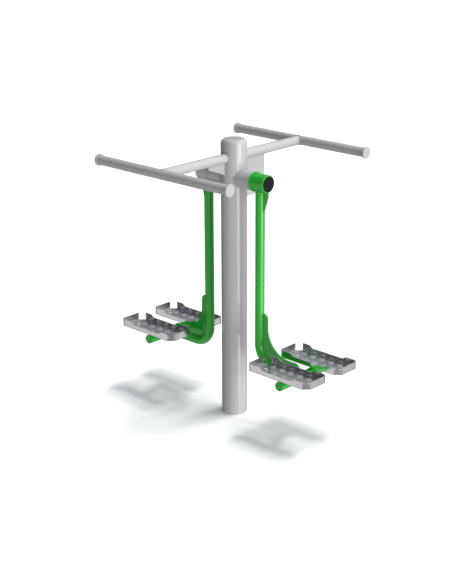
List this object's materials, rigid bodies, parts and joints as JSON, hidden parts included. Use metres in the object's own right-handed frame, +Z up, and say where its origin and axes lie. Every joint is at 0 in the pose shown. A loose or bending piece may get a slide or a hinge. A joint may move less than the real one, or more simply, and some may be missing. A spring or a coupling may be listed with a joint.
{
  "type": "outdoor double pendulum",
  "caption": "Round ground post with a cross arm, long handlebars and foot pendulums hung on ball bearings, each with folded foot trays that swing from side to side.",
  "frame": {"origin": "centre of the post's open lower end, at ground level", "axes": "+Z up along the post, X along the pivot line with the front pendulum on +X, Y along the cross arm with the left arm on -Y"},
  "size_m": [1.392, 1.1184, 1.557],
  "materials": {
    "grey_paint": "satin powder coat",
    "cap_paint": "satin powder coat",
    "green_paint": "satin powder coat",
    "tread_plate": "stainless tread plate",
    "plug_plastic": "matte",
    "axle_steel": "turned",
    "bearing_steel": "ground and polished",
    "fixings": "zinc plated"
  },
  "bodies": {
    "frame": {"post": "grey_paint", "post_cap": "grey_paint", "left_arm": "grey_paint", "right_arm": "grey_paint", "left_handlebar": "grey_paint", "right_handlebar": "grey_paint", "handlebar_caps": "cap_paint", "arm_gusset": "grey_paint", "info_plate": "grey_paint", "front_stub": "grey_paint", "rear_stub": "grey_paint", "stub_plates": "grey_paint", "pivot_axles": "axle_steel", "axle_collars": "axle_steel", "bearing_inner_rings": "bearing_steel", "bearing_balls": "bearing_steel", "axle_spacers": "axle_steel", "axle_washers": "axle_steel", "axle_nuts": "axle_steel"},
    "front_pendulum": {"front_hub": "green_paint", "front_hub_plug": "plug_plastic", "front_outer_rings": "bearing_steel", "front_leg": "green_paint", "front_hub_gusset": "green_paint", "front_bend_rib": "green_paint", "front_cross_tube": "green_paint", "front_tube_discs": "green_paint", "front_left_tray": "tread_plate", "front_right_tray": "tread_plate", "front_tray_rails": "green_paint", "front_tray_bolts": "fixings", "front_tray_nuts": "fixings"},
    "rear_pendulum": {"rear_hub": "grey_paint", "rear_hub_plug": "plug_plastic", "rear_outer_rings": "bearing_steel", "rear_leg": "green_paint", "rear_hub_gusset": "green_paint", "rear_bend_rib": "green_paint", "rear_cross_tube": "green_paint", "rear_tube_discs": "green_paint", "rear_left_tray": "tread_plate", "rear_right_tray": "tread_plate", "rear_tray_rails": "green_paint", "rear_tray_bolts": "fixings", "rear_tray_nuts": "fixings"}
  },
  "joints": [
    {"name": "front_swing", "type": "hinge", "parent": "frame", "child": "front_pendulum", "pos_m": [0.195, 0, 1.35], "axis": [1, 0, 0], "range_deg": [-35, 35]},
    {"name": "rear_swing", "type": "hinge", "parent": "frame", "child": "rear_pendulum", "pos_m": [-0.19, 0, 1.35], "axis": [1, 0, 0], "range_deg": [-35, 35]}
  ]
}
